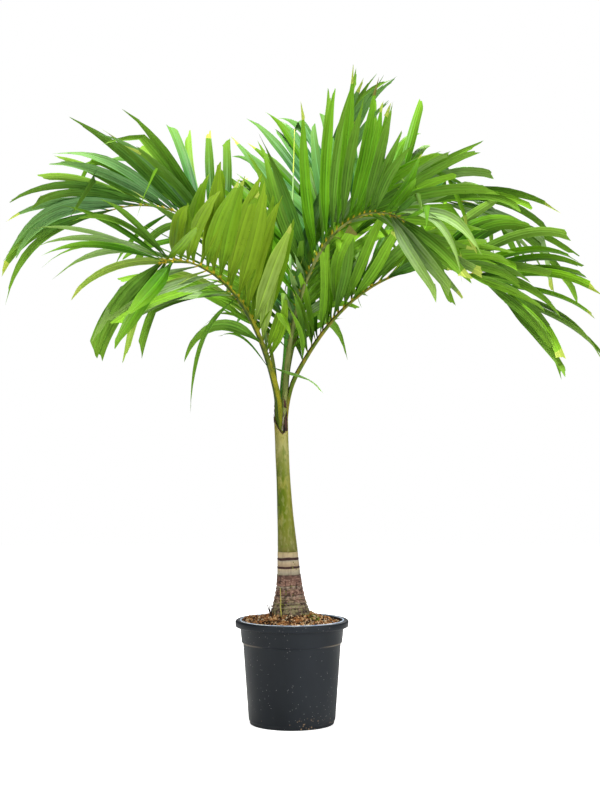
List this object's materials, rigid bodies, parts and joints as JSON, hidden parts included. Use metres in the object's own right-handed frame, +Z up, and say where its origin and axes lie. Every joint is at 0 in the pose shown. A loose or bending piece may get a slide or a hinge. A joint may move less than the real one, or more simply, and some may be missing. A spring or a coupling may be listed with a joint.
{
  "type": "christmas palm in a nursery pot",
  "caption": "Young christmas palm with a ringed foot, green crownshaft and arching feather fronds, in a round black nursery pot filled with bark.",
  "frame": {"origin": "centre of the pot's flat underside, on the surface it stands on", "axes": "+Z up, +X to the right and -Y to the front of the pictured side"},
  "size_m": [1.8443, 1.4161, 2.0459],
  "materials": {
    "pot_plastic": "moulded black plastic, satin, with a rolled rim and a stepped collar",
    "bark_chips": "coarse reddish-brown bark chips",
    "ringed_bark": "ringed grey-brown stem with pale ring scars",
    "green_sheath": "smooth pale green sheath with darker mottling",
    "new_leaf": "rolled new leaf, yellow-green",
    "leaf_bright": "bright green leaflets, satin above and dull below",
    "leaf_yellow": "pale yellow-green undersides on an olive-yellow stalk",
    "leaf_green": "mid green leaflets on a golden stalk",
    "leaf_dark": "dark blue-green leaflets with yellow-green tips"
  },
  "bodies": {
    "root": {"pot": "pot_plastic", "soil": "bark_chips", "trunk": "ringed_bark", "crownshaft": "green_sheath", "spear_leaf": "new_leaf", "frond_front_right_inner": "leaf_bright", "frond_front_right_outer": "leaf_bright", "frond_front_left_inner": "leaf_yellow", "frond_front_left_outer": "leaf_yellow", "frond_right_inner": "leaf_green", "frond_right_outer": "leaf_green", "frond_back_left_inner": "leaf_dark", "frond_back_left_outer": "leaf_dark", "frond_back_right_inner": "leaf_green", "frond_back_right_outer": "leaf_green", "frond_back_inner": "leaf_dark", "frond_back_outer": "leaf_dark"}
  },
  "joints": []
}
